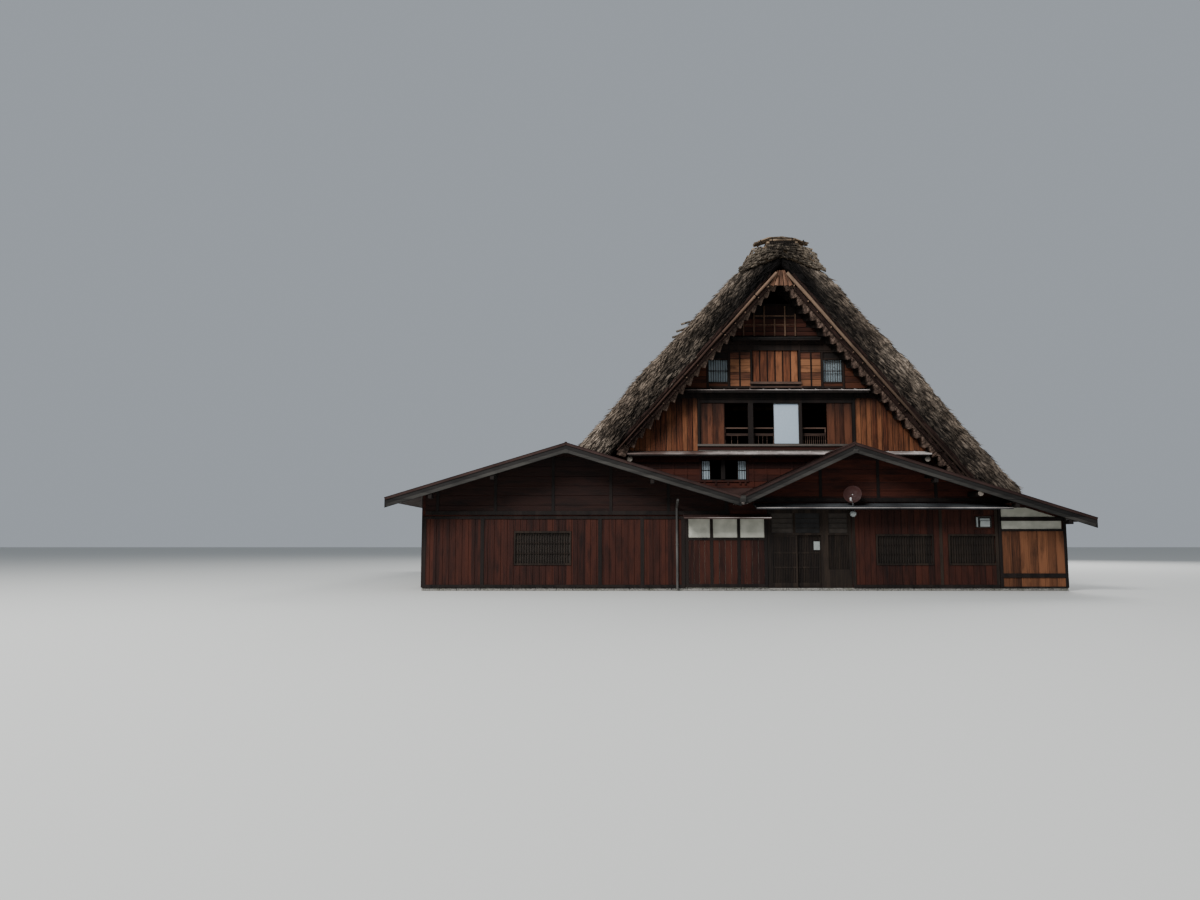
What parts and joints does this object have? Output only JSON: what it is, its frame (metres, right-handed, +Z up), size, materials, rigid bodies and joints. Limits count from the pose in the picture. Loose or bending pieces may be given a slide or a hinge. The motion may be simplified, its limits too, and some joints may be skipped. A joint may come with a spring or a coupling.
{
  "type": "minka farmhouse",
  "caption": "Steep thatched roof over boarded gable storeys, with a low metal-roofed wing and entrance front; the entrance has sliding doors.",
  "frame": {"origin": "centre of the whole house's box in plan, on the ground", "axes": "+Z up, +Y from the front gable to the back gable along the ridge, +X to the right seen from the front"},
  "size_m": [22.99, 25.223, 12.62],
  "materials": {
    "thatch": "weathered grey-brown reed thatch, cut ends showing",
    "ridge_reed": "paler reed of the ridge bundles",
    "pole_wood": "weathered round pole",
    "dark_timber": "old dark timber, nearly black",
    "cedar_boards": "warm orange-brown upright cedar boards",
    "red_boards": "dark red-brown boards with battens",
    "grey_boards": "weathered grey verge boards",
    "floor_boards": "dark floor boards",
    "roof_metal": "red-brown painted sheet with standing seams",
    "pent_metal": "pale grey sheet, dulled",
    "plaster": "off-white lime plaster between dark timbers",
    "screen_paper": "blue-white paper screen",
    "window_glass": "old window glass behind bars",
    "sill_stone": "grey sill stone",
    "dish_paint": "matt red-brown paint"
  },
  "bodies": {
    "house": {"thatch_left": "thatch", "thatch_right": "thatch", "front_verge_steps": "thatch", "back_verge_steps": "thatch", "ridge_thatch": "ridge_reed", "front_barge_poles": "pole_wood", "back_barge_poles": "pole_wood", "left_rafters": "dark_timber", "right_rafters": "dark_timber", "left_post_row": "dark_timber", "right_post_row": "dark_timber", "front_girder": "dark_timber", "front_wall_lattice": "dark_timber", "mezzanine_window": "dark_timber", "front_railing": "dark_timber", "wing_frame": "dark_timber", "entrance_frame": "dark_timber", "front_wall_second": "cedar_boards", "front_shutter_left": "cedar_boards", "front_shutter_right": "cedar_boards", "third_board_door": "cedar_boards", "back_wall_second": "cedar_boards", "front_wall_mezzanine": "red_boards", "front_wall_mezzanine_right": "red_boards", "front_wall_third": "red_boards", "back_wall_lower": "red_boards", "back_wall_third": "red_boards", "left_gable_boards": "red_boards", "right_gable_boards": "red_boards", "left_front_wall": "red_boards", "front_right_wall": "red_boards", "right_end_bay": "red_boards", "left_side_wall": "red_boards", "right_side_wall": "red_boards", "back_ground_wall": "red_boards", "wing_verge_board": "grey_boards", "entrance_verge_board": "grey_boards", "main_floor": "floor_boards", "mezzanine_floor": "floor_boards", "second_floor": "floor_boards", "third_floor": "floor_boards", "wing_roof_outer": "roof_metal", "wing_roof_inner": "roof_metal", "entrance_roof_left": "roof_metal", "entrance_roof_right": "roof_metal", "valley_pent": "roof_metal", "entrance_pent": "roof_metal", "plaster_pent": "roof_metal", "lower_pent": "pent_metal", "middle_pent": "pent_metal", "upper_pent": "pent_metal", "valley_gutter": "pent_metal", "plaster_bay": "plaster", "front_screen": "screen_paper", "third_panes": "window_glass", "plinth": "sill_stone", "entrance_floor": "sill_stone", "satellite_dish": "dish_paint"},
    "left_door": {"entrance_door_left": "dark_timber"},
    "right_door": {"entrance_door_right": "dark_timber"}
  },
  "joints": [
    {"name": "entrance_door_left_slide", "type": "slide", "parent": "house", "child": "left_door", "axis": [1, 0, 0], "range_m": [0, 0.78]},
    {"name": "entrance_door_right_slide", "type": "slide", "parent": "house", "child": "right_door", "axis": [-1, 0, 0], "range_m": [0, 0.78]}
  ]
}
